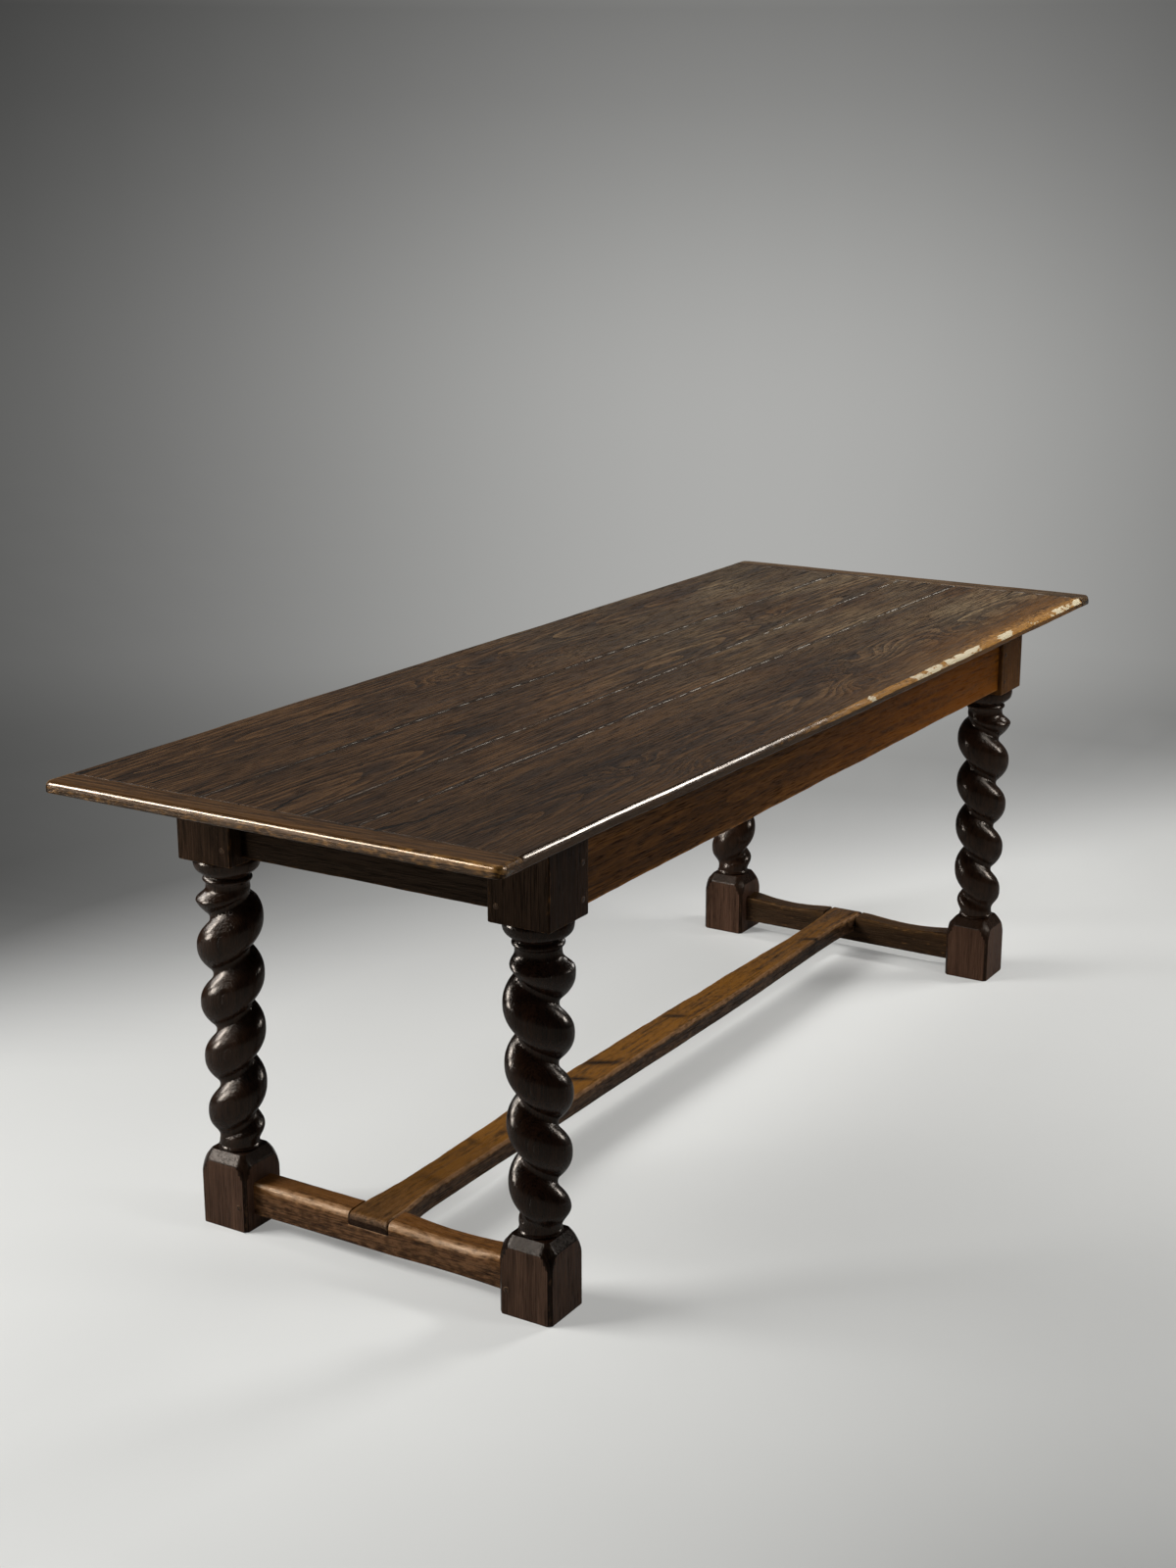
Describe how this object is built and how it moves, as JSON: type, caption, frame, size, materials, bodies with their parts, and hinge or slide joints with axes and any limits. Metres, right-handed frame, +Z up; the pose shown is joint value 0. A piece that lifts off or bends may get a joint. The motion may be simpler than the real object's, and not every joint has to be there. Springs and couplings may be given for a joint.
{
  "type": "refectory table",
  "caption": "Long oak refectory table: planked top with breadboard ends on barley-twist legs, joined by pegged rails and an H-shaped stretcher.",
  "frame": {"origin": "on the floor under the middle of the top", "axes": "+X along the table, +Y across it towards the back, +Z up"},
  "size_m": [2.15, 0.8, 0.76],
  "materials": {
    "oak_top": "aged waxed oak, dark brown, open grain, worn golden at the edges",
    "oak_leg": "aged polished oak, near-black brown, glossy",
    "oak_rail": "aged waxed oak, mid to dark brown",
    "oak_stretcher": "aged waxed oak, golden brown where worn",
    "oak_peg": "aged oak end grain",
    "oak_inner": "bare unpolished oak",
    "screw_steel": "plain steel wood screw"
  },
  "bodies": {
    "root": {"breadboard_left": "oak_top", "breadboard_pegs_left": "oak_peg", "breadboard_pegs_right": "oak_peg", "breadboard_right": "oak_top", "button_screws": "screw_steel", "end_rail_left": "oak_rail", "end_rail_pegs_left": "oak_peg", "end_rail_pegs_right": "oak_peg", "end_rail_right": "oak_rail", "end_stretcher_left": "oak_stretcher", "end_stretcher_right": "oak_stretcher", "lap_peg_left": "oak_peg", "lap_peg_right": "oak_peg", "leg_back_left": "oak_leg", "leg_back_right": "oak_leg", "leg_front_left": "oak_leg", "leg_front_right": "oak_leg", "long_stretcher": "oak_stretcher", "loose_tongue_back": "oak_inner", "loose_tongue_front": "oak_inner", "loose_tongue_middle": "oak_inner", "side_rail_back": "oak_rail", "side_rail_front": "oak_rail", "side_rail_pegs_back": "oak_peg", "side_rail_pegs_front": "oak_peg", "stretcher_pegs_left": "oak_peg", "stretcher_pegs_right": "oak_peg", "top_board_back": "oak_top", "top_board_front": "oak_top", "top_board_second": "oak_top", "top_board_third": "oak_top", "top_button_back_left": "oak_inner", "top_button_back_middle": "oak_inner", "top_button_back_right": "oak_inner", "top_button_front_left": "oak_inner", "top_button_front_middle": "oak_inner", "top_button_front_right": "oak_inner", "top_button_left_end": "oak_inner", "top_button_right_end": "oak_inner"}
  },
  "joints": []
}
